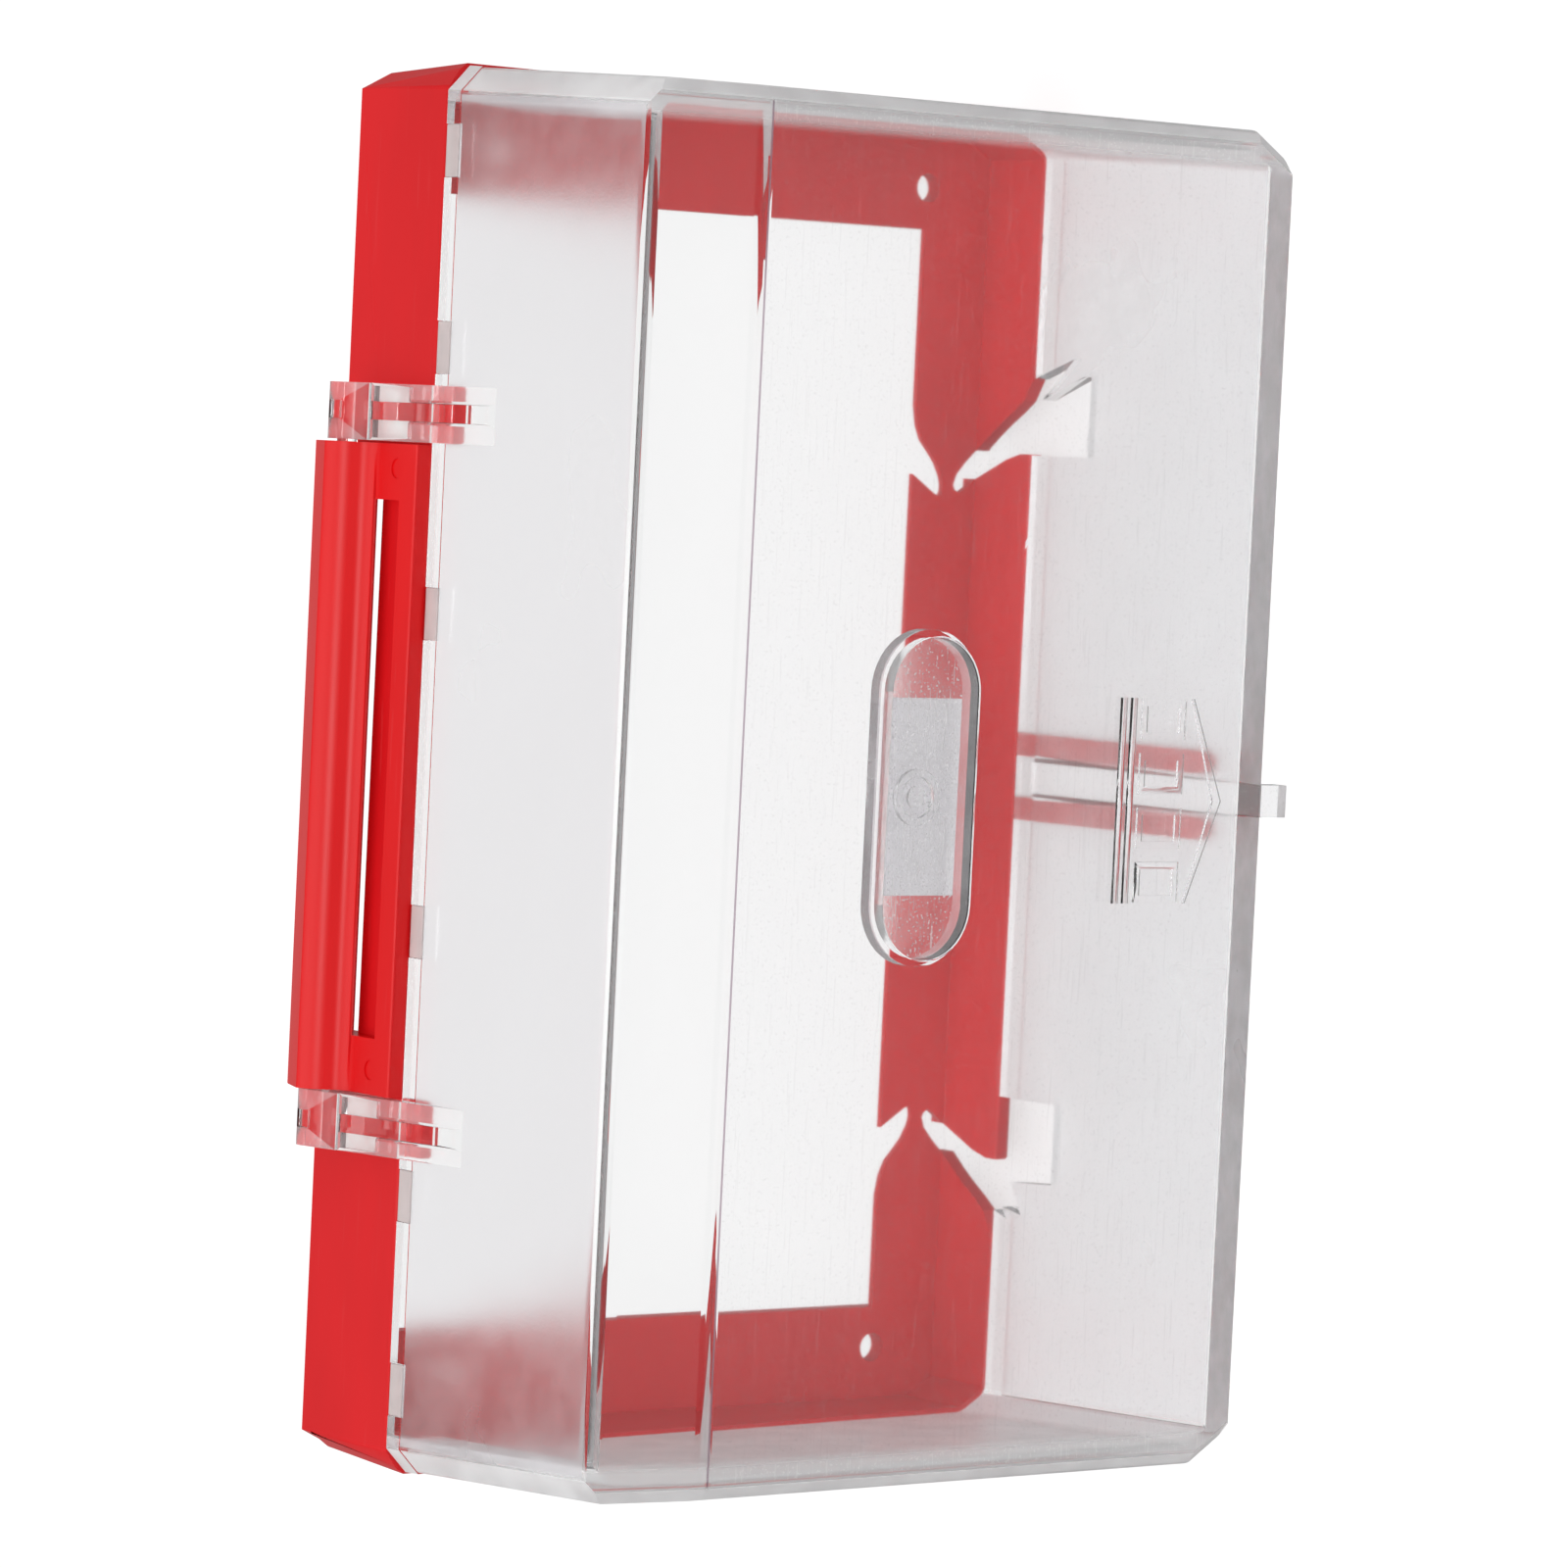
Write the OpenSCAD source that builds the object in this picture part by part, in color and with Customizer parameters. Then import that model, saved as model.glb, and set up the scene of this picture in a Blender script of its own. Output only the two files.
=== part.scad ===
// Lift-up guard for a wall-mounted manual call point: an open red frame with a clear hinged cover.
// X runs along the hinge, -Y points at the user and +Z is up on the wall.
// The origin is on the wall plane, at the middle of the four screw holes.

/* [Frame] */
// Outside width of the frame at the wall
frame_w = 175; // [172:0.2:180]
// Height of the frame's top face above the screw centre
frame_top = 56.8; // [55:0.2:58]
// Distance of the frame's bottom face below the screw centre
frame_drop = 47.2; // [46:0.2:49]
// Depth of the frame at the hinge side
rim_depth_top = 18.9; // [18:0.1:22]
// Depth of the frame at the bottom side
rim_depth_bottom = 13.9; // [13:0.1:16]
// Thickness of the frame walls
frame_wall = 2.2; // [1.8:0.1:2.4]
// Thickness of the flat back ring
ring_t = 2.5; // [2:0.1:3]
// Width of the opening, for a 146 mm wide plate
opening_w = 147; // [146.4:0.2:148]
// Height of the opening, for an 86 mm high plate
opening_h = 88.6; // [87:0.2:89]
// Outward step of the end walls in front of the back edge
end_step = 0.7; // [0.2:0.1:1]
// Outward slope of each end wall from the step to the rim
end_flare = 1; // [0.4:0.1:1.2]

/* [Screw holes] */
// Distance between the screw holes across
screw_x = 158.2; // [156:0.2:160]
// Distance between the screw holes up
screw_z = 68.6; // [67:0.1:70]
// Diameter of a screw hole
screw_d = 3.9; // [3.2:0.1:4.5]

/* [Cable entries] */
// Middle of the right-hand knock-out web
web_right = 38.7; // [36:0.1:40]
// Middle of the left-hand knock-out web
web_left = 47.3; // [44:0.1:48]
// Thickness of the bottom bar's plate, which holds the knock-outs
bar_t = 0.8; // [0.6:0.1:1.2]
// Distance of each cover window's inner side from the middle
window_near = 43.6; // [42:0.1:45]
// Width of a cover window
window_w = 10.8; // [9:0.1:12]
// How far a cover window reaches from the wall
window_reach = 26; // [25:0.1:28]

/* [Guide prongs] */
// Width of a prong
prong_w = 3.1; // [2.5:0.1:4]
// Gap between the two prongs
prong_gap = 5.6; // [5:0.1:7]
// Thickness of a prong
prong_t = 1.9; // [1.5:0.1:2.2]
// How far the prongs reach from the wall
prong_reach = 51; // [40:0.5:55]

/* [Hinge] */
// Length of the hinge block
block_len = 82.2; // [76:0.2:82.2]
// Radius of the block's barrel
barrel_r = 4.3; // [4:0.1:4.6]
// Radius of the cover's hinge stubs
stub_r = 1.3; // [1:0.05:1.4]
// Length of a hinge stub
stub_len = 4.5; // [3:0.5:6]
// Radius of the cover's knuckles
knuckle_r = 2.5; // [2.3:0.1:2.6]
// Width of a hinge arm
arm_w = 7.2; // [6.8:0.1:8]
// How far a hinge arm reaches from the wall
arm_reach = 31.6; // [28:0.2:34]
// How far the locating tongues under the arms reach in front of the frame's rim
tongue_reach = 2.2; // [1:0.1:6]

/* [Cover] */
// Depth of the closed cover from the wall
cover_depth = 62.6; // [60:0.2:66]
// Outside width of the cover at its rim
cover_w = 177.4; // [176:0.2:179]
// Thickness of the cover walls
cover_t = 2.3; // [1.8:0.1:2.4]
// Height of the sloping facet
facet_h = 15.9; // [12:0.1:18]
// Depth that the sloping facet takes off the top edge
facet_fall = 3.9; // [2:0.1:5]
// Inward draft of each end wall from rim to front
end_draft = 1.9; // [1:0.1:2.5]
// Inward draft of the top wall from rim to front
top_draft = 1.8; // [1:0.1:2.5]
// Width of the polished bead round the rim
bead_w = 2.6; // [2:0.1:3]

/* [Front pocket] */
// Height of the pocket's middle above the screw centre
pocket_z = 8.8; // [6:0.1:10]
// Radius of the pocket's round ends
pocket_r = 6.9; // [6:0.1:7.4]
// Length of the pocket's straight sides
pocket_straight = 26.6; // [24:0.2:30]
// Depth of the pocket
pocket_depth = 3.3; // [2.5:0.1:4]

/* [Hidden] */
$fn = 48;
eps = 0.01;
big = 400;

frame_half = frame_w / 2;
frame_low = -frame_drop;
opening_low = frame_top - frame_wall - opening_h;
step_depth = 2;
top_face_half = frame_half - 1.5;
top_face_drop = 3;
top_corner = [3.2, 3.2];
low_corner = [3.4, 5.2];
rim_gap = 0.3;
rim_tilt = atan((rim_depth_top - rim_depth_bottom) / (frame_top + frame_drop));

axis_y = -barrel_r;
axis_z = frame_top + knuckle_r + 0.3;
pad_top = frame_top + 2.2;
blend_r = 3;
bore_fit = 0.05;
slot_half = 34;
slot_front = 15.5;
slot_rear = 10.3;
slit_front = 8.6;
slit_rear = 4.5;
hollow_top = pad_top - 0.2;
flat_from = -5.3;
flat_top = axis_z + 4.1;
flat_low = axis_z + 2;
mark_r = 1.3;
mark_x = 38;
mark_y = -14.8;

arm_in = block_len / 2 + 0.3;
arm_out = arm_in + arm_w;
arm_under = frame_top + 0.3;
arm_rear = 10.4;
arm_high = frame_top + 3.6;

rim_top = rim_depth_top + rim_gap;
rim_bottom = rim_depth_bottom + rim_gap;
low_draft = 0.5;
facet_low = frame_top - top_draft - facet_h;
floor_t = 1.0;
pocket_back = cover_depth - pocket_depth;

pad_len = 6.7;
pad_sink = 0.6;
pad_proud = 0.15;
pad_places = [-78, -53.4, -20, 20, 53.4, 78];
label_len = 25;
label_w = 14;
label_drop = 0.6;
label_t = 0.4;

// Carries a flat outline drawn in X and Z from depth y0 to depth y1, measured from the wall.
module sweep_depth(y0, y1) {
    translate([0, -y0, 0])
        rotate([90, 0, 0])
            linear_extrude(y1 - y0) children();
}

// Carries a flat outline drawn in Y and Z along X.
module sweep_across(x0, x1) {
    translate([x0, 0, 0])
        rotate([90, 0, 90])
            linear_extrude(x1 - x0) children();
}

// A box between two opposite corners.
module block(low, high) {
    translate(low) cube(high - low);
}

// A rectangle in X and Z with its corners cut off. The corner cuts are sizes in X and Z.
module cut_corner_outline(half, low, high, low_cut, high_cut) {
    polygon([[low_cut.x - half, low], [half - low_cut.x, low],
             [half, low + low_cut.y], [half, high - high_cut.y],
             [half - high_cut.x, high], [high_cut.x - half, high],
             [-half, high - high_cut.y], [-half, low + low_cut.y]]);
}

// Everything in front of the sloping rim plane, which is moved forward by lead.
module beyond_rim(lead) {
    translate([0, -rim_depth_top - lead, frame_top])
        rotate([rim_tilt, 0, 0])
            translate([-big / 2, -big, -big / 2]) cube(big);
}

// Everything behind the sloping rim plane, which is moved forward by lead.
module behind_rim(lead) {
    translate([0, -rim_depth_top - lead, frame_top])
        rotate([rim_tilt, 0, 0])
            translate([-big / 2, 0, -big / 2]) cube(big);
}

// One of the four through-holes in the back ring, drawn at each corner of the pattern.
module screw_holes() {
    for (x = [-screw_x / 2, screw_x / 2], z = [-screw_z / 2, screw_z / 2])
        translate([x, eps, z]) rotate([90, 0, 0]) cylinder(r = screw_d / 2, h = ring_t + 2 * eps);
}

// A pair of curved cuts in the bottom bar that leave a thin web between them, in a thin plate.
// The outer cut runs on through the bottom wall to its rim.
module knock_out(web_x) {
    inside = frame_low + frame_wall;
    past = rim_depth_bottom + 1;
    inner_tip = opening_low - 5.3;
    outer_tip = opening_low - 7.4;
    translate([web_x, 0, 0]) {
        // Cut that runs in from the opening
        sweep_depth(-1, ring_t + 1)
            polygon([[-1.2, inner_tip + 0.7], [-1, inner_tip + 0.2], [-0.4, inner_tip], [0.4, inner_tip],
                     [1.5, inner_tip + 0.3], [3.3, inner_tip + 1.3], [4.8, inner_tip + 2.6],
                     [6.2, opening_low - 1.4], [8.2, opening_low - 0.5], [11, opening_low],
                     [11, opening_low + 1], [1.6, opening_low + 1], [1.6, opening_low],
                     [-0.9, inner_tip + 1.4]]);
        // Cut that runs from the web to the corner of the bar
        sweep_depth(-1, ring_t + eps)
            polygon([[-0.6, outer_tip - 0.7], [-0.3, outer_tip - 0.1], [0.4, outer_tip + 0.2],
                     [1.8, outer_tip - 0.3], [3.5, outer_tip - 1.8], [5.2, inside],
                     [5.2, frame_low - 1], [1.3, frame_low - 1], [1.3, inside], [0.2, outer_tip - 2.2],
                     [-0.5, outer_tip - 1.2]]);
        // The same cut carried on through the bottom wall to the rim
        translate([0, 0, frame_low - 1])
            linear_extrude(frame_wall + 1 + eps)
                polygon([[1.3, -ring_t], [5.2, -ring_t], [7.2, -4.9], [9, -7.4], [10.7, -10],
                         [12.2, -12], [14.6, -13.4], [16.6, -past], [5, -past], [5, -11.9],
                         [4.2, -9], [2.8, -5.9]]);
    }
}

// One guide prong on the outside of the bottom wall, with a rounded end.
module prong(side) {
    under = frame_low - rim_gap;
    low = under - prong_t;
    end_y = -prong_reach + prong_w / 2;
    translate([side * (prong_gap + prong_w) / 2, 0, 0]) {
        block([-prong_w / 2, -rim_depth_bottom + 0.4, low], [prong_w / 2, -4, frame_low + 0.6]);
        block([-prong_w / 2, end_y, low], [prong_w / 2, -4, under]);
        translate([0, end_y, low]) cylinder(r = prong_w / 2, h = prong_t);
    }
}

// The frame's outline at a depth where its half width is given. Its top face keeps one width.
module frame_outline(half) {
    cut_corner_outline(half, frame_low, frame_top, low_corner, [half - top_face_half, top_face_drop]);
}

// The frame's outer form, whose end walls lean out towards the rim.
module frame_form() {
    thin = 0.02;
    front = 30;
    rim_half = frame_half + end_step + end_flare * (front - step_depth) / (rim_depth_top - step_depth);
    sweep_depth(0, step_depth + eps) frame_outline(frame_half);
    hull() {
        sweep_depth(step_depth, step_depth + thin) frame_outline(frame_half + end_step);
        sweep_depth(front - thin, front) frame_outline(rim_half);
    }
}

// A tongue under one hinge arm. It stands forward of the rim, just inside the closed cover.
module tongue(side) {
    top = frame_top - frame_wall;
    low = top - 1.8;
    mid_x = side * (arm_in + arm_w / 2);
    block([mid_x - arm_w / 2, -rim_depth_top + eps, low], [mid_x + arm_w / 2, -12, top + eps]);
    block([mid_x - arm_w / 2, -rim_depth_top - tongue_reach, low],
          [mid_x + arm_w / 2, -rim_depth_top + 2 * eps, top - 0.7]);
}

module base_frame() {
    inner_half = frame_half + end_step - frame_wall;
    inner_cut = [0.9, 0.9];
    color([0.84, 0.12, 0.14])
    union() {
        difference() {
            frame_form();
            sweep_depth(ring_t, 31)
                cut_corner_outline(inner_half, frame_low + frame_wall, frame_top - frame_wall,
                                   low_corner - inner_cut, top_corner - inner_cut);
            block([-opening_w / 2, -ring_t - 1, opening_low],
                  [opening_w / 2, 1, frame_top - frame_wall]);
            block([-opening_w / 2, -ring_t + bar_t, frame_low + frame_wall],
                  [opening_w / 2, 1, opening_low + 1]);
            beyond_rim(0);
            screw_holes();
            knock_out(web_right);
            mirror([1, 0, 0]) knock_out(web_left);
            block([-slot_half, -slit_front, frame_top - frame_wall - 1],
                  [slot_half, -slit_rear, frame_top + 1]);
        }
        for (side = [-1, 1]) {
            prong(side);
            tongue(side);
        }
    }
}

// Cross-section of the hinge block, in Y and Z.
module block_section() {
    blend_z = pad_top + blend_r;
    blend_y = axis_y - sqrt(pow(barrel_r + blend_r, 2) - pow(blend_z - axis_z, 2));
    difference() {
        union() {
            translate([axis_y, axis_z]) circle(barrel_r, $fn = 64);
            polygon([[-rim_depth_top, frame_top], [0, frame_top], [0, flat_low],
                     [axis_y, axis_z], [axis_y, pad_top], [-rim_depth_top, pad_top]]);
        }
        // The barrel ends on the frame's top face and has a flat at the back
        translate([-big / 2, frame_top - big]) square(big);
        polygon([[flat_from, flat_top], [0, flat_low], [1, flat_low], [1, flat_top + 1],
                 [flat_from, flat_top + 1]]);
    }
    difference() {
        polygon([[axis_y, axis_z], [blend_y, blend_z], [blend_y, pad_top - eps], [axis_y, pad_top - eps]]);
        translate([blend_y, blend_z]) circle(blend_r, $fn = 64);
    }
}

module hinge_block() {
    half = block_len / 2;
    bore_depth = stub_len + 1;
    color([0.88, 0.1, 0.11])
    difference() {
        sweep_across(-half, half) block_section();
        block([-slot_half, -slot_front, frame_top - 1], [slot_half, -slot_rear, pad_top + blend_r]);
        block([-slot_half, -slot_rear - eps, frame_top - 1], [slot_half, -slit_rear, hollow_top]);
        for (side = [-1, 1]) {
            translate([side * (half - bore_depth / 2 + eps), axis_y, axis_z])
                rotate([0, 90, 0]) cylinder(r = stub_r + bore_fit, h = bore_depth, center = true);
            translate([side * mark_x, mark_y, pad_top - 0.2]) cylinder(r = mark_r, h = 1);
        }
    }
}

// An edge of the cover at a depth from the wall, when it is drawn in by draft from rim to front.
function drawn(edge, draft, depth) = edge - draft * (depth - rim_top) / (cover_depth - rim_top);

// A slice of the cover at a depth from the wall, drawn in all round by inset.
module cover_slice(depth, inset) {
    cut_in = [inset, inset] * 0.4;
    sweep_depth(depth - eps, depth)
        cut_corner_outline(drawn(cover_w / 2, end_draft, depth) - inset,
                           drawn(-frame_drop, -low_draft, depth) + inset,
                           drawn(frame_top, top_draft, depth) - inset,
                           low_corner - cut_in, top_corner - cut_in);
}

// The cover's outer form, or its hollow when it is drawn in by inset.
module cover_form(inset) {
    facet_slope = atan(facet_fall / facet_h);
    intersection() {
        hull() {
            cover_slice(0, inset);
            cover_slice(cover_depth - inset, inset);
        }
        translate([0, -cover_depth, facet_low])
            rotate([-facet_slope, 0, 0])
                translate([-big / 2, inset, -big / 2]) cube(big);
    }
}

// The walls of the cover, open at the back, with a bead round the rim.
module cover_walls() {
    difference() {
        union() {
            cover_form(0);
            intersection() {
                cover_form(-0.12);
                behind_rim(rim_gap + bead_w);
            }
        }
        cover_form(cover_t);
        behind_rim(rim_gap);
    }
}

// An outline with straight sides and round ends, in X and Z.
module slot_outline(r, straight) {
    square([straight, 2 * r], center = true);
    for (side = [-1, 1]) translate([side * straight / 2, 0]) circle(r);
}

// Wall and floor of the front pocket, before it is hollowed.
module pocket_solid() {
    translate([0, 0, pocket_z])
        sweep_depth(pocket_back - floor_t, cover_depth - cover_t / 2)
            slot_outline(pocket_r + floor_t, pocket_straight);
}

module pocket_recess() {
    translate([0, 0, pocket_z])
        sweep_depth(pocket_back, cover_depth + 1) slot_outline(pocket_r, pocket_straight);
}

// Round moulding mark on the pocket floor.
module pocket_boss() {
    translate([0, -pocket_back + eps, pocket_z])
        rotate([90, 0, 0]) {
            difference() {
                cylinder(r = 3.6, h = 0.6);
                translate([0, 0, -1]) cylinder(r = 2.6, h = 3);
            }
            cylinder(r = 1.4, h = 0.5);
        }
}

// Raised lift mark on the front: two bars, four blank tablets and an arrowhead that points at the tab.
module lift_mark() {
    half = 13.2;
    line_w = 0.9;
    bar_rows = [-22.2, -23.9];
    tablet_z = -29;
    tablet = [5.2, 7.4];
    tablet_pitch = 7;
    arrow_z = -33.8;
    arrow_drop = 5.1;
    sweep_depth(cover_depth - 0.5, cover_depth + 0.35) {
        for (z = bar_rows) translate([-half, z - line_w / 2]) square([2 * half, line_w]);
        for (k = [-1.5:1:1.5])
            translate([k * tablet_pitch, tablet_z])
                difference() {
                    square(tablet, center = true);
                    square(tablet - 2 * [line_w, line_w], center = true);
                }
        polygon([[-half, arrow_z], [0, arrow_z - arrow_drop + 0.8], [half, arrow_z],
                 [half, arrow_z - 0.3], [0, arrow_z - arrow_drop - 0.6], [-half, arrow_z - 0.3]]);
    }
}

// Height of a hinge arm's sloping top at a depth from the wall, where it runs out into the cover.
function arm_top(depth) =
    let (tip = drawn(frame_top, top_draft, arm_reach))
    tip + (arm_high - tip) * (arm_reach - depth) / (arm_reach - arm_rear);

// A cut into the top of a hinge arm, from depth rear to depth front, with a floor along the slope.
module arm_cut(x0, x1, rear, front, sink) {
    sweep_across(x0, x1)
        polygon([[-rear, arm_top(rear) - sink], [-front, arm_top(front) - sink],
                 [-front, arm_top(front) + 1], [-rear, arm_top(rear) + 1]]);
}

// One hinge arm of the cover: knuckle, stub and sloping arm. It is drawn for the right-hand side.
module hinge_arm() {
    rib_from = arm_in + 2.6;
    rib_to = arm_in + 4.9;
    skin = 0.35;
    window_rear = 10.8;
    window_front = 16.9;
    window_sink = 0.9;
    rib_sink = 0.3;
    notch_rear = 26.7;
    notch_sink = 0.8;
    foot = rim_top + 0.6;
    difference() {
        union() {
            translate([arm_in, axis_y, axis_z]) rotate([0, 90, 0]) cylinder(r = knuckle_r, h = arm_w);
            sweep_across(arm_in, arm_out)
                polygon([[axis_y, arm_under], [-foot, arm_under], [-foot, frame_top - 1],
                         [-arm_reach, frame_top - 1], [-arm_reach, arm_top(arm_reach)],
                         [-arm_rear, arm_high], [-arm_rear, arm_high + 0.4],
                         [axis_y, axis_z + knuckle_r]]);
        }
        arm_cut(arm_in + skin, rib_from, window_rear, window_front, window_sink);
        arm_cut(rib_to, arm_out - skin, window_rear, window_front, window_sink);
        arm_cut(rib_from, rib_to, arm_rear, notch_rear + 1, rib_sink);
        arm_cut(rib_from, rib_to, notch_rear, arm_reach + 1, notch_sink);
        // Small notch in the top of the knuckle
        block([rib_from, axis_y - 1.2, axis_z + 1.6], [rib_to, axis_y + 1.2, axis_z + 3]);
    }
    translate([arm_in - stub_len, axis_y, axis_z])
        rotate([0, 90, 0]) cylinder(r = stub_r, h = stub_len + eps);
}

// Lift tab below the front edge, with the rib that runs back from it between the prongs.
module lift_tab() {
    half = 2.1;
    reach = 4.2;
    block([-half, -cover_depth + 0.2, frame_low - reach], [half, -cover_depth + 3, frame_low + 1]);
    block([-half, -cover_depth + 1, frame_low - 1.2], [half, -rim_bottom - 2, frame_low + 1]);
}

// Seats for the six pads, or the pads themselves when they stand proud of the bead.
module pad_block(place, rise) {
    block([place - pad_len / 2, -rim_top - bead_w - 0.1, frame_top - pad_sink],
          [place + pad_len / 2, -rim_top, frame_top + rise]);
}

// A window in the cover's lower wall. Its outer side is the points in far_side.
module cover_window(far_side) {
    translate([window_near, 0, frame_low - 1])
        linear_extrude(2 * cover_t + 1)
            polygon(concat([[0, 0], [0, -window_reach], [window_w, -window_reach]], far_side));
}

module clear_cover() {
    right_side = [[window_w, -24.4], [7.5, -16], [13.2, -22.4], [10.1, -13.4], [10.1, 0]];
    left_side = [[window_w + 0.6, -17.6], [15.6, -20], [14.9, -16.1], [16.4, -16.9], [14.9, -12.5],
                 [14.9, 0]];
    color([0.86, 0.88, 0.88, 0.5])
    difference() {
        union() {
            difference() {
                union() {
                    cover_walls();
                    pocket_solid();
                }
                pocket_recess();
                cover_window(right_side);
                mirror([1, 0, 0]) cover_window(left_side);
            }
            pocket_boss();
            lift_mark();
            lift_tab();
            hinge_arm();
            mirror([1, 0, 0]) hinge_arm();
        }
        for (place = pad_places) pad_block(place, 1);
    }
}

// Blank label on the inside of the pocket floor.
module pocket_label() {
    back = pocket_back - floor_t;
    middle_z = pocket_z - label_drop;
    color([0.93, 0.93, 0.93])
    block([-label_len / 2, -back, middle_z - label_w / 2],
          [label_len / 2, label_t - back, middle_z + label_w / 2]);
}

// One of the small soft pads let into the cover's rim.
module rim_pad(number) {
    color([0.9, 0.82, 0.82, 0.7]) pad_block(pad_places[number - 1], pad_proud);
}

base_frame();
hinge_block();
clear_cover();
pocket_label();
rim_pad(1);  // rim_pad_1
rim_pad(2);  // rim_pad_2
rim_pad(3);  // rim_pad_3
rim_pad(4);  // rim_pad_4
rim_pad(5);  // rim_pad_5
rim_pad(6);  // rim_pad_6
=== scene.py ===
"""Looks for the lift-up guard of a manual call point: a red frame with a clear hinged cover."""

import math

import bmesh
import bpy
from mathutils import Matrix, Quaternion, Vector


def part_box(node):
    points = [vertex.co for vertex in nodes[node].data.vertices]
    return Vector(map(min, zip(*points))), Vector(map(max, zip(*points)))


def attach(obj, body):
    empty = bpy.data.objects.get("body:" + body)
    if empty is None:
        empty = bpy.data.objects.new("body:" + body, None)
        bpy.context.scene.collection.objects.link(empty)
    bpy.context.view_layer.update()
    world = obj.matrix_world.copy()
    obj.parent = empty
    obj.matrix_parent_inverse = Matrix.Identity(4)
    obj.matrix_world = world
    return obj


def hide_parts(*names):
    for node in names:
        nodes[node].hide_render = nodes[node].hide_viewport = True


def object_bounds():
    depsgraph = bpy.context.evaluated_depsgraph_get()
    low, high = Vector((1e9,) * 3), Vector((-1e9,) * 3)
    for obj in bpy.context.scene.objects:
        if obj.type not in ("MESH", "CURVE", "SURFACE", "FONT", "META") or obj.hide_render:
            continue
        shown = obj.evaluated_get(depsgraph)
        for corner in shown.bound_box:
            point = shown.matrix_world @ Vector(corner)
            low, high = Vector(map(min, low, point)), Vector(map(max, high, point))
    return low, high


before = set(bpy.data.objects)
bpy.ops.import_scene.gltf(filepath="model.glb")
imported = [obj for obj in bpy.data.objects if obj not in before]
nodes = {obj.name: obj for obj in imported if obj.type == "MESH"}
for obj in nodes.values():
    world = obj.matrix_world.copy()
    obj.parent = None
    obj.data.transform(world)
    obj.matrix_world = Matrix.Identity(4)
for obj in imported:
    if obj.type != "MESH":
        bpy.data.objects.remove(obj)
cad_low, cad_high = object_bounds()

MM = 0.001
SAME_POINT = 1e-6


def box_mm(node):
    """Lowest and highest corner of a CAD node, in millimetres."""
    low_corner, high_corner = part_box(node)
    return low_corner / MM, high_corner / MM


base_low, base_high = box_mm("base_frame")
cover_low, cover_high = box_mm("clear_cover")
hinge_low, hinge_high = box_mm("hinge_block")
label_low, label_high = box_mm("pocket_label")
pad_low, pad_high = box_mm("rim_pad_1")

# Depths of the cover: its front behind the raised mark, the inside of its front, and its rim's bead
front_y = cover_low.y + 0.35
behind_front_y = front_y + 1.6
bead_y = pad_low.y - 0.1
# The pocket's middle, and the reach round it that takes in its walls
pocket_z = (label_low.z + label_high.z) / 2 + 0.6
pocket_reach_x = label_high.x + 10.5
pocket_reach_z = 9.5


# ---------------------------------------------------------------- node helpers
class Graph:
    """A material's node tree, with short ways to add and join nodes."""

    def __init__(self, name):
        self.material = bpy.data.materials.new(name)
        self.material.use_nodes = True
        self.tree = self.material.node_tree
        self.tree.nodes.clear()
        self.output = self.tree.nodes.new("ShaderNodeOutputMaterial")

    def add(self, kind, inputs=None, **settings):
        node = self.tree.nodes.new("ShaderNode" + kind)
        for key, value in settings.items():
            setattr(node, key, value)
        for key, value in (inputs or {}).items():
            self.feed(node.inputs[key], value)
        return node

    def feed(self, socket, value):
        if isinstance(value, bpy.types.NodeSocket):
            self.tree.links.new(value, socket)
        elif isinstance(value, bpy.types.Node):
            self.tree.links.new(value.outputs[0], socket)
        else:
            socket.default_value = value

    def math(self, operation, a, b=0.0, clamp=False):
        return self.add("Math", {0: a, 1: b}, operation=operation, use_clamp=clamp).outputs[0]

    def step(self, value, low, high, out_low=0.0, out_high=1.0):
        """A smooth step of value from out_low at low to out_high at high."""
        node = self.add(
            "MapRange",
            {"Value": value, "From Min": low, "From Max": high, "To Min": out_low, "To Max": out_high},
            interpolation_type="SMOOTHSTEP",
        )
        return node.outputs[0]

    def place(self):
        """Object coordinates, in metres in the frame of the part."""
        return self.add("TexCoord").outputs["Object"]

    def noise(self, coords, scale, detail=3.0, rough=0.55, stretch=(1.0, 1.0, 1.0)):
        mapped = self.add("Mapping", {"Vector": coords, "Scale": stretch})
        node = self.add("TexNoise", {"Vector": mapped, "Scale": scale, "Detail": detail, "Roughness": rough})
        return node.outputs[0]

    def scratches(self, coords, scale, angle, thin):
        """Fine straight scratches: long, thin cells of a turned and stretched noise."""
        turned = (angle, angle * 0.6, angle * 1.7)
        mapped = self.add("Mapping", {"Vector": coords, "Rotation": turned, "Scale": (1.0, 26.0, 26.0)})
        node = self.add("TexNoise", {"Vector": mapped, "Scale": scale, "Detail": 2.0, "Roughness": 0.5})
        return self.step(node.outputs[0], 0.5 + thin, 0.5 + thin * 1.5)

    def bump(self, height, strength, distance):
        return self.add("Bump", {"Height": height, "Strength": strength, "Distance": distance}).outputs[0]


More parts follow.
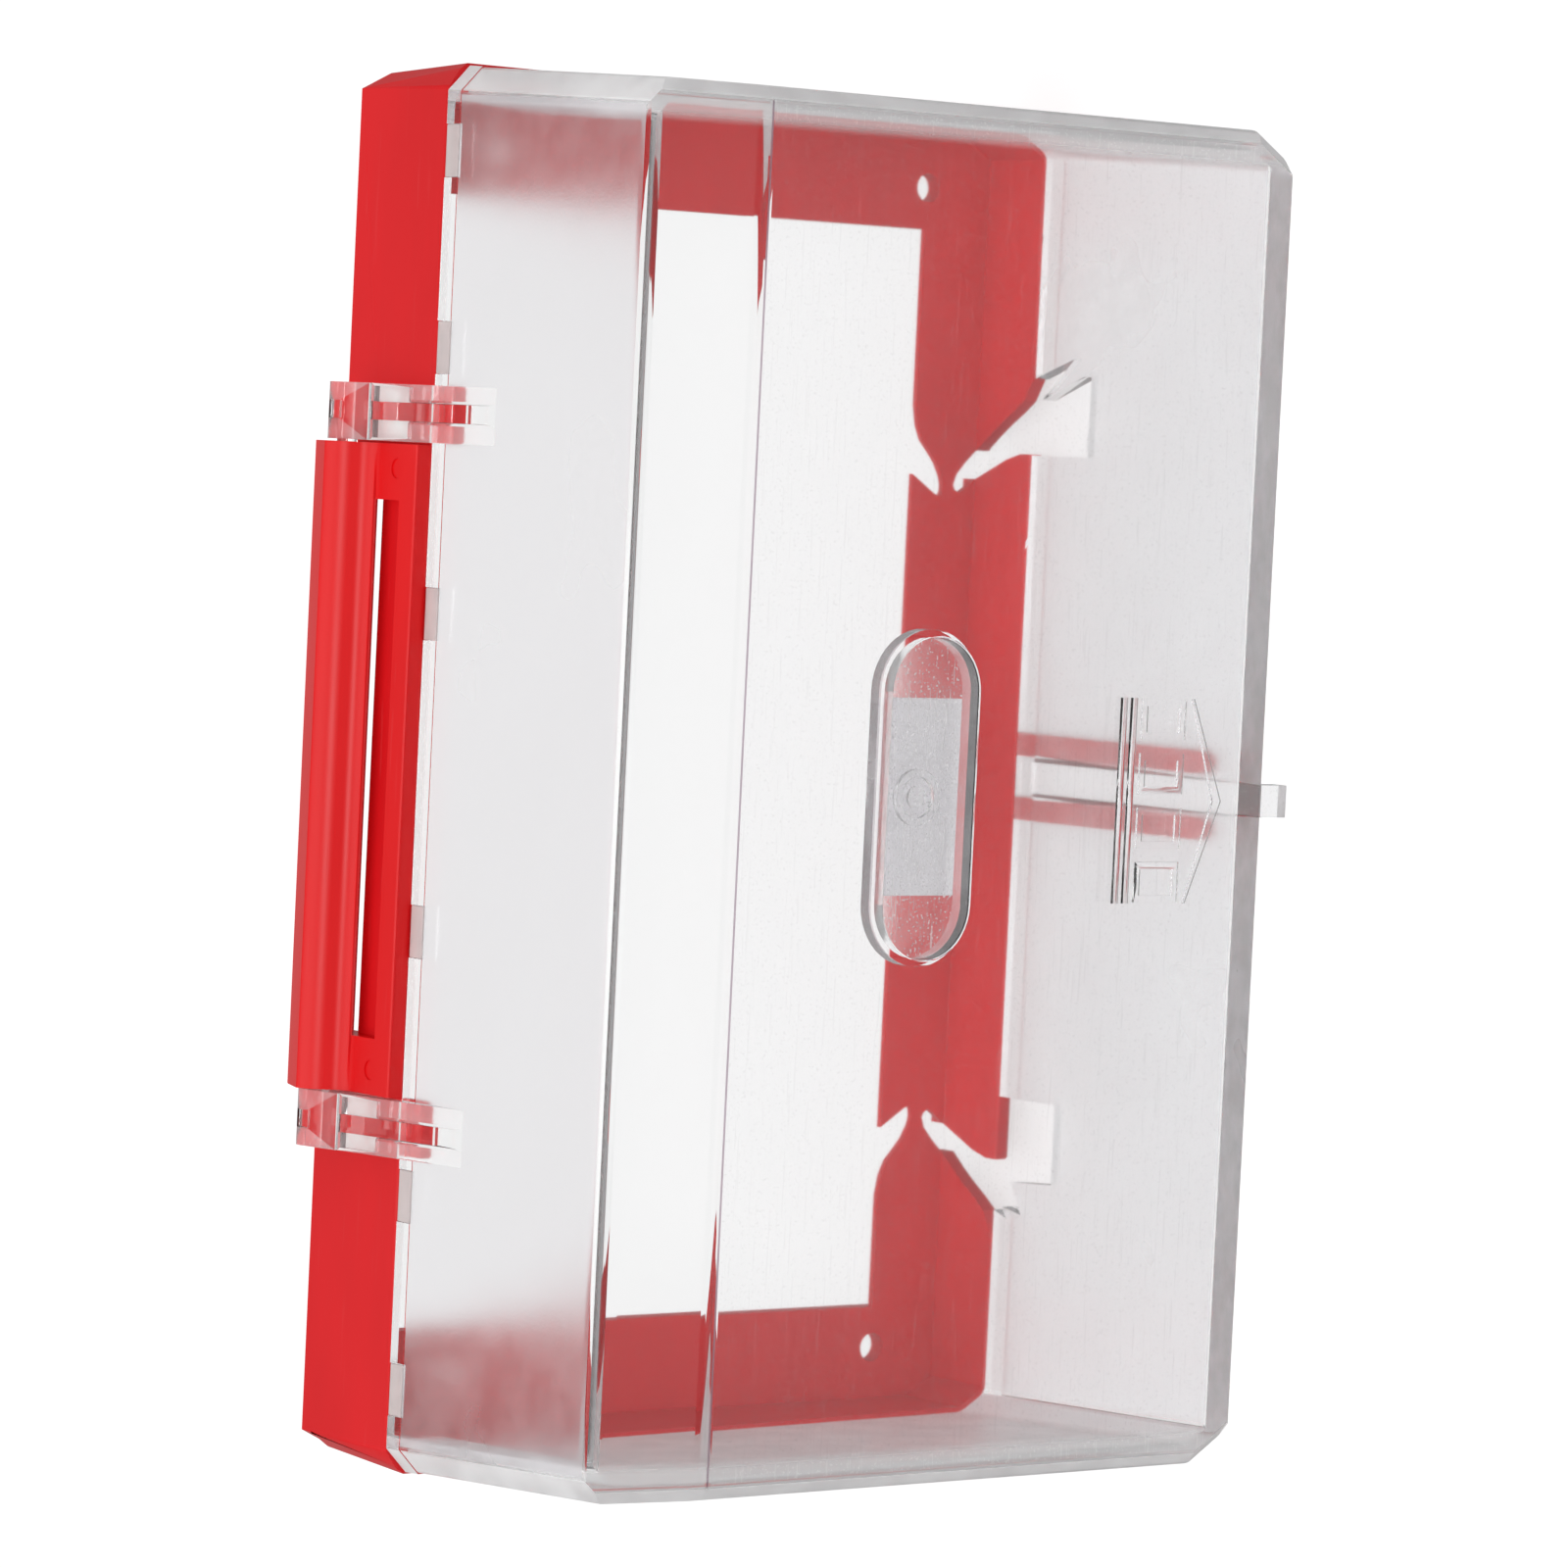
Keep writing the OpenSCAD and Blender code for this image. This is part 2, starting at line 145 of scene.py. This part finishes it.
def moulded(node, name, body, roundings):
    """A piece that stands for a CAD node: its shape with the long moulded edges rounded.

    roundings is a list of (convex, width, segments, rule). Each rounds by width the edges that stick
    out, or go in, for which rule says yes to an edge's middle and length in millimetres.
    """
    flat_turn = math.radians(0.4)
    edge_turn = math.radians(10)
    sharp_turn = math.radians(33)
    strip_width = 1.2 * MM
    shape = bmesh.new()
    shape.from_mesh(nodes[node].data)
    bmesh.ops.remove_doubles(shape, verts=shape.verts, dist=SAME_POINT)
    bmesh.ops.dissolve_limit(shape, angle_limit=flat_turn, verts=shape.verts, edges=shape.edges)
    shape.normal_update()
    for convex, width, segments, rule in roundings:
        picked = []
        for edge in shape.edges:
            if edge.is_manifold and edge.is_convex is convex and edge.calc_face_angle(0.0) > edge_turn:
                middle = (edge.verts[0].co + edge.verts[1].co) / 2
                if rule(*(middle / MM), edge.calc_length() / MM):
                    picked.append(edge)
        bmesh.ops.bevel(
            shape, geom=picked, offset=width * MM, offset_type="OFFSET", segments=segments, profile=0.5,
            affect="EDGES", clamp_overlap=False, loop_slide=False,
        )
        bmesh.ops.remove_doubles(shape, verts=shape.verts, dist=SAME_POINT)
        shape.normal_update()
    # Narrow strips are parts of a round, so they are shaded smooth
    for face in shape.faces:
        longest = max(edge.calc_length() for edge in face.edges)
        face.smooth = face.calc_area() / longest < strip_width
    bmesh.ops.triangulate(shape, faces=[face for face in shape.faces if len(face.verts) > 4])
    mesh = bpy.data.meshes.new(name)
    shape.to_mesh(mesh)
    shape.free()
    # Marking the sharp edges would turn every face smooth, so the faces' own shading is put back
    smooth = [face.use_smooth for face in mesh.polygons]
    mesh.set_sharp_from_angle(angle=sharp_turn)
    mesh.polygons.foreach_set("use_smooth", smooth)
    thing = bpy.data.objects.new(name, mesh)
    bpy.context.scene.collection.objects.link(thing)
    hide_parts(node)
    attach(thing, body)
    return thing


def let_in(thing, gap, width):
    """Draws a small CAD node in by gap all round, so that it lies free of its seat, and rounds its
    edges by width. Its own mesh stays as it is."""
    weld = thing.modifiers.new("weld", "WELD")
    weld.merge_threshold = SAME_POINT
    shrink = thing.modifiers.new("shrink", "DISPLACE")
    shrink.strength = -gap * math.sqrt(3)
    shrink.mid_level = 0
    bevel = thing.modifiers.new("bevel", "BEVEL")
    bevel.width = width
    bevel.segments = 2
    bevel.limit_method = "ANGLE"
    bevel.angle_limit = math.radians(30)
    bevel.harden_normals = True


def dress(name, material):
    """Gives a CAD node its material."""
    thing = nodes[name]
    thing.data.materials.clear()
    thing.data.materials.append(material)


def paint(thing, materials, choose):
    """Gives each face of a piece the material that choose names for its middle, in millimetres, and
    its direction."""
    keys = list(materials)
    for key in keys:
        thing.data.materials.append(materials[key])
    mesh = thing.data
    for face in mesh.polygons:
        corners = [mesh.vertices[index].co for index in face.vertices]
        spans = [(min(axis), max(axis)) for axis in zip(*corners)]
        middle = Vector([(start + end) / 2 for start, end in spans]) / MM
        face.material_index = keys.index(choose(middle, face.normal))


# ------------------------------------------------------------------- materials
def red_plastic(name, colour, rough):
    """Moulded red ABS: faint flow marks, a fine grain, and light handling marks."""
    g = Graph(name)
    coords = g.place()
    flow = g.noise(coords, 45.0, 4.0, 0.6, (0.35, 1.0, 1.0))
    grain = g.noise(coords, 2200.0, 2.0)
    marks = g.scratches(coords, 60.0, 0.5, 0.15)
    deep = tuple(part * 0.9 for part in colour) + (1.0,)
    tint = g.add("MixRGB", {0: g.step(flow, 0.3, 0.7), 1: deep, 2: colour + (1.0,)})
    worn = g.add("MixRGB", {0: g.math("MULTIPLY", marks, 0.06), 1: tint, 2: (0.8, 0.2, 0.2, 1.0)})
    dull = g.step(flow, 0.25, 0.75, rough - 0.05, rough + 0.05)
    roughness = g.math("ADD", dull, g.math("MULTIPLY", marks, 0.06))
    height = g.math("ADD", g.math("MULTIPLY", grain, 0.5), g.math("MULTIPLY", marks, -0.3))
    shader = g.add(
        "BsdfPrincipled",
        {
            "Base Color": worn,
            "Roughness": roughness,
            "Specular IOR Level": 0.3,
            "Normal": g.bump(height, 0.2, 0.03 * MM),
        },
    )
    g.feed(g.output.inputs[0], shader)
    return g.material


def clear_plastic(name, tint, rough, milk, grain_scale=0.0, wear=0.0, end_glare=0.0):
    """Clear moulded plastic. milk is the share of light that its surface scatters, grain_scale the
    scale of a frosted grain, wear the strength of fine scratches and specks, and the last argument
    the share of a whitish haze painted over a band of the front near the end walls, a painted
    reflection of the white light the end walls show there."""
    g = Graph(name)
    coords = g.place()
    flow = g.noise(coords, 30.0, 3.0)
    cloud = g.step(g.noise(coords, 160.0, 4.0), 0.3, 0.7, 0.75, 1.25)
    height = g.math("MULTIPLY", flow, 0.6)
    haze = g.math("MULTIPLY", cloud, milk)
    roughness = g.step(flow, 0.2, 0.8, rough * 0.85, rough * 1.15)
    if wear:
        hairs = g.math(
            "ADD", g.scratches(coords, 85.0, 0.9, 0.13), g.scratches(coords, 120.0, -0.6, 0.14), clamp=True
        )
        specks = g.step(g.noise(coords, 2600.0, 1.0), 0.6, 0.72)
        marks = g.math("ADD", g.math("MULTIPLY", hairs, 0.7), specks, clamp=True)
        haze = g.math("ADD", haze, g.math("MULTIPLY", marks, wear))
    if end_glare:
        # Painted reflection: a whitish band over the front near the end walls stands in for the white light
        # seen through them
        along, depth, _ = g.add("SeparateXYZ", {0: coords}).outputs
        near_end = g.step(g.math("ABSOLUTE", along), 81.5 * MM, 83.2 * MM)
        in_front = g.step(g.math("MULTIPLY", depth, -1.0), 45 * MM, 50 * MM)
        glare_band = g.math("MULTIPLY", near_end, in_front)
        haze = g.math("ADD", haze, g.math("MULTIPLY", glare_band, end_glare))
    if grain_scale:
        grain = g.noise(coords, grain_scale, 3.0)
        height = g.math("ADD", height, grain)
    shader = g.add(
        "BsdfPrincipled",
        {
            "Base Color": tint + (1.0,),
            "Roughness": roughness,
            "IOR": 1.49,
            "Transmission Weight": g.math("SUBTRACT", 1.0, haze, clamp=True),
            "Normal": g.bump(height, 0.25 if grain_scale else 0.05, 0.05 * MM),
        },
    )
    # Shadow rays pass straight through, so that light reaches what the cover stands in front of
    through = g.add("BsdfTransparent", {"Color": (0.96, 0.96, 0.97, 1.0)})
    path = g.add("LightPath")
    mixed = g.add("MixShader", {0: path.outputs["Is Shadow Ray"], 1: shader, 2: through})
    g.feed(g.output.inputs[0], mixed)
    return g.material


def soft_pad():
    """Soft pale pad that lets a little light through."""
    g = Graph("rim_pad")
    coords = g.place()
    cloud = g.noise(coords, 600.0)
    shader = g.add(
        "BsdfPrincipled",
        {
            "Base Color": g.add("MixRGB", {0: cloud, 1: (0.86, 0.74, 0.73, 1), 2: (0.9, 0.82, 0.81, 1)}),
            "Roughness": g.step(cloud, 0.3, 0.7, 0.35, 0.5),
            "Transmission Weight": g.step(cloud, 0.3, 0.7, 0.3, 0.45),
        },
    )
    g.feed(g.output.inputs[0], shader)
    return g.material


def label_film():
    """Thin white film, with a soft paper grain."""
    g = Graph("label_film")
    coords = g.place()
    cloud = g.noise(coords, 1500.0)
    shader = g.add(
        "BsdfPrincipled",
        {
            "Base Color": g.add("MixRGB", {0: cloud, 1: (0.93, 0.91, 0.93, 1), 2: (0.97, 0.95, 0.97, 1)}),
            "Roughness": g.step(cloud, 0.3, 0.7, 0.5, 0.65),
            "Transmission Weight": g.step(cloud, 0.3, 0.7, 0.06, 0.12),
        },
    )
    g.feed(g.output.inputs[0], shader)
    return g.material


# ---------------------------------------------------------------- red mouldings
def base_edge(x, y, z, length):
    """Long edges of the frame's outside, in front of the step, and of the prongs."""
    outside = abs(x) > base_high.x - 9 or z > base_high.z - 7 or z < base_low.z + 9
    in_front = pad_high.y < y < -3
    return length > 8 and in_front and outside


def barrel_edge(x, y, z, length):
    """Long edges of the hinge barrel, above the pad."""
    return length > 60 and z > hinge_low.z + 1


base_shell = moulded("base_frame", "base_shell", "frame", [(True, 0.35, 3, base_edge)])
base_shell.data.materials.append(red_plastic("red_frame", (0.78, 0.008, 0.012), rough=0.4))
hinge_shell = moulded(
    "hinge_block", "hinge_shell", "frame", [(True, 0.25, 3, barrel_edge)]
)
hinge_shell.data.materials.append(red_plastic("red_hinge", (0.84, 0.006, 0.008), rough=0.34))


# ----------------------------------------------------------------- clear cover
def by_pocket(x, z):
    return abs(x) < pocket_reach_x and abs(z - pocket_z) < pocket_reach_z


def by_tab(x, z):
    return abs(x) < 6 and z < cover_low.z + 11


def cover_front_edge(x, y, z, length):
    """The edges of the cover's front at its two ends, which are cut off flat."""
    return abs(x) > cover_high.x - 5 and length > 4 and abs(y - behind_front_y) < 1.7


def cover_outer_edge(x, y, z, length):
    """Long outside edges of the cover between its bead and its front, without the tab and its rib."""
    between = front_y - 0.05 < y < bead_y - 0.5
    return length > 14 and between and not by_tab(x, z) and not by_pocket(x, z)


def cover_inner_edge(x, y, z, length):
    """Long inside corners of the cover."""
    between = behind_front_y < y < bead_y - 3
    return length > 25 and between and not by_pocket(x, z)


def pocket_rim(x, y, z, length):
    """The pocket's outline in the cover's front."""
    return by_pocket(x, z) and abs(y - front_y) < 0.02


cover_shell = moulded(
    "clear_cover", "cover_shell", "cover",
    [
        (False, 0.9, 3, cover_inner_edge),
        (True, 1.7, 1, cover_front_edge),
        (True, 0.4, 3, cover_outer_edge),
        (True, 0.25, 3, pocket_rim),
    ],
)

# Scales of the mould's two grains, in cells per metre
FINE = 2600.0
COARSE = 1500.0
cover_clears = {
    "polished": clear_plastic("clear_polished", (0.95, 0.955, 0.955), rough=0.03, milk=0.004, end_glare=0.3),
    "front": clear_plastic(
        "clear_front", (0.93, 0.935, 0.94), rough=0.04, milk=0.012, wear=0.07, end_glare=0.35
    ),
    "frosted": clear_plastic(
        "clear_frosted", (0.88, 0.87, 0.89), rough=0.3, milk=0.17, grain_scale=FINE, end_glare=0.25
    ),
    "bottom": clear_plastic("clear_bottom", (0.975, 0.975, 0.98), rough=0.3, milk=0.15, grain_scale=FINE),
    "side": clear_plastic("clear_side", (0.985, 0.98, 0.985), rough=0.45, milk=0.66, grain_scale=FINE),
    "floor": clear_plastic(
        "clear_floor", (0.99, 0.98, 0.99), rough=0.2, milk=0.2, grain_scale=COARSE, wear=0.5
    ),
    # Grained milky finish, painted white as a painted reflection of the white room in the arm's windows and
    # the cable windows' cut walls
    "milk_and_glare": clear_plastic("clear_milk_and_glare", (0.93, 0.93, 0.92), rough=0.35, milk=0.75, grain_scale=COARSE),
    # Painted shade: a dark pinkish tint for the fold between the front and its facet
    "fold_shade": clear_plastic("clear_fold_shade", (0.42, 0.33, 0.4), rough=0.3, milk=0.35, grain_scale=COARSE),
    "hazy": clear_plastic("clear_hazy", (0.97, 0.96, 0.97), rough=0.15, milk=0.22, grain_scale=COARSE),
}

# Where the finishes lie: spans from one place to another, in millimetres
arm_x = (hinge_high.x + 0.2, hinge_high.x + 7.6)
arm_rib_x = (hinge_high.x + 2.8, hinge_high.x + 5.3)
arm_low_z = base_high.z - 0.8
arm_front_y = -31.8
arm_window_y = (-16.9, -10.8)
arm_window_z = (base_high.z + 1.1, base_high.z + 3.7)
end_wall_x = (cover_high.x - 9, cover_high.x - 0.43)
low_wall_z = (cover_low.z + 3.4, cover_low.z + 8.4)
low_wall_inside_y = -14.4
low_wall_outside_y = -16.85
cable_window_x = (40, 62)
cable_window_z = low_wall_z[1] - 1
cable_window_y = -27
top_wall_z = base_high.z - 2.1
top_wall_front_y = -58.5
facet_y = front_y + 0.6
foot_y = front_y + 3.6


def within(value, span):
    return span[0] < value < span[1]


def arm_finish(middle, normal):
    """The hinge arm's windows are grained and painted white, a painted reflection of the white room in their
    hollows, its ribs clear, and the rest hazy.
    """
    if within(abs(middle.x), arm_rib_x):
        return "polished"
    sloping_up = normal.z > 0.95 and normal.y < -0.1
    if within(middle.y, arm_window_y) and within(middle.z, arm_window_z) and sloping_up:
        return "milk_and_glare"
    return "hazy"


def wall_finish(middle, normal):
    """The finish of a face on the cover's low wall, end walls and top, or None for any other face."""
    low_wall_end_y = low_wall_inside_y if normal.z > 0 else low_wall_outside_y
    if abs(normal.z) > 0.9 and within(middle.z, low_wall_z) and middle.y < low_wall_end_y:
        return "bottom"
    if abs(normal.x) > 0.5 and within(abs(middle.x), end_wall_x):
        return "side"
    if middle.y > bead_y:
        return "polished"
    # The cable windows' cut walls are painted whitish, so they show white where their polished faces would
    # reflect red
    by_cable_window = middle.z < cable_window_z and within(abs(middle.x), cable_window_x)
    if by_cable_window and abs(normal.z) < 0.7:
        return "milk_and_glare" if middle.y > cable_window_y else "side"
    if middle.y < foot_y and middle.z < low_wall_z[1] and normal.z < -0.4:
        return "side"
    if normal.z > 0.98 and middle.z > top_wall_z and middle.y > top_wall_front_y:
        return "frosted"
    return None


def front_finish(middle, normal):
    """The finish of a face on the cover's front, facet and pocket."""
    faces_front = normal.y < -0.99
    if middle.y > front_y + 0.2 and by_pocket(middle.x, middle.z) and abs(normal.y) < 0.5:
        return "hazy"
    # The fold between the front and its facet gets painted shade: a dark pinkish tint in place of the darker
    # line the bent light shows along it
    if middle.y < facet_y and 0.08 < normal.z < 0.16:
        return "fold_shade"
    if faces_front and middle.y < front_y + 0.35:
        return "front"
    if faces_front and middle.y < front_y + 4.15 and abs(middle.z - pocket_z) < pocket_reach_z - 2:
        return "floor"
    return "polished"


def cover_finish(middle, normal):
    """Which finish of the mould a face of the cover has."""
    if within(abs(middle.x), arm_x) and middle.z > arm_low_z and middle.y > arm_front_y:
        return arm_finish(middle, normal)
    return wall_finish(middle, normal) or front_finish(middle, normal)


paint(cover_shell, cover_clears, cover_finish)


# --------------------------------------------------------------- label and pads
dress("pocket_label", label_film())
let_in(nodes["pocket_label"], 0.04 * MM, 0.1 * MM)
pad_material = soft_pad()
for number in range(1, 7):
    dress(f"rim_pad_{number}", pad_material)
    let_in(nodes[f"rim_pad_{number}"], 0.05 * MM, 0.15 * MM)


# --------------------------------------------------------- floor, light, camera
def pale_floor():
    """A pale floor that shows white to the camera and a little darker through the cover."""
    g = Graph("pale_floor")
    coords = g.place()
    cloud = g.noise(coords, 3.0)
    path = g.add("LightPath")
    direct = g.math("MULTIPLY", path.outputs["Is Camera Ray"], 0.66)
    through = g.math("MULTIPLY", path.outputs["Is Transmission Ray"], 0.58)
    seen = g.math("ADD", g.math("MAXIMUM", direct, through), 0.12)
    shader = g.add(
        "BsdfPrincipled",
        {
            "Base Color": g.add("MixRGB", {0: cloud, 1: (0.3, 0.3, 0.3, 1), 2: (0.32, 0.32, 0.32, 1)}),
            "Roughness": g.step(cloud, 0.3, 0.7, 0.75, 0.85),
            "Emission Color": (1.0, 1.0, 1.0, 1.0),
            "Emission Strength": seen,
        },
    )
    g.feed(g.output.inputs[0], shader)
    bpy.ops.mesh.primitive_plane_add(size=6, location=(0, 0, cad_low.z - 0.2 * MM))
    floor = bpy.context.object
    floor.name = "pale_floor"
    floor.data.materials.append(g.material)


def soft_light(name, direction, distance, size, power):
    """A square lamp that looks at the middle of the part."""
    centre = (cad_low + cad_high) / 2
    data = bpy.data.lights.new(name, "AREA")
    data.shape = "SQUARE"
    data.size = size
    data.energy = power
    lamp = bpy.data.objects.new(name, data)
    bpy.context.scene.collection.objects.link(lamp)
    lamp.location = centre + Vector(direction).normalized() * distance
    lamp.rotation_euler = (centre - lamp.location).to_track_quat("-Z", "Y").to_euler()


def camera():
    """The view: from 850 mm away, above the hinge side, with the picture turned on end."""
    azimuth = math.radians(3.66)
    elevation = math.radians(38.29)
    roll = math.radians(-89.49)
    target = Vector((-0.35, -30.0, 6.65)) * MM
    distance = 850.0 * MM
    out = Vector(
        (
            math.sin(azimuth) * math.cos(elevation),
            -math.cos(azimuth) * math.cos(elevation),
            math.sin(elevation),
        )
    )
    data = bpy.data.cameras.new("camera")
    data.lens = 151.12
    data.sensor_width = 36.0
    data.clip_start = 0.05
    thing = bpy.data.objects.new("camera", data)
    bpy.context.scene.collection.objects.link(thing)
    thing.rotation_mode = "QUATERNION"
    thing.location = target + out * distance
    thing.rotation_quaternion = (-out).to_track_quat("-Z", "Y") @ Quaternion((0, 0, 1), roll)
    bpy.context.scene.camera = thing


def white_room():
    """An even white room that is a little darker in reflections, as soft boxes leave it."""
    world = bpy.data.worlds.new("white_room")
    world.use_nodes = True
    tree = world.node_tree
    back = tree.nodes["Background"]
    back.inputs[0].default_value = (1.0, 1.0, 1.0, 1.0)
    path = tree.nodes.new("ShaderNodeLightPath")
    strength = tree.nodes.new("ShaderNodeMapRange")
    strength.inputs["To Min"].default_value = 0.6
    strength.inputs["To Max"].default_value = 0.34
    tree.links.new(path.outputs["Is Glossy Ray"], strength.inputs["Value"])
    tree.links.new(strength.outputs[0], back.inputs[1])
    bpy.context.scene.world = world


pale_floor()
white_room()
soft_light("overhead", (-0.15, -0.05, 1.0), 1.2, 0.9, 3.9)
soft_light("key", (0.0, -0.69, 0.72), 1.3, 0.3, 3.2)
camera()
bpy.context.scene.view_settings.view_transform = "Standard"
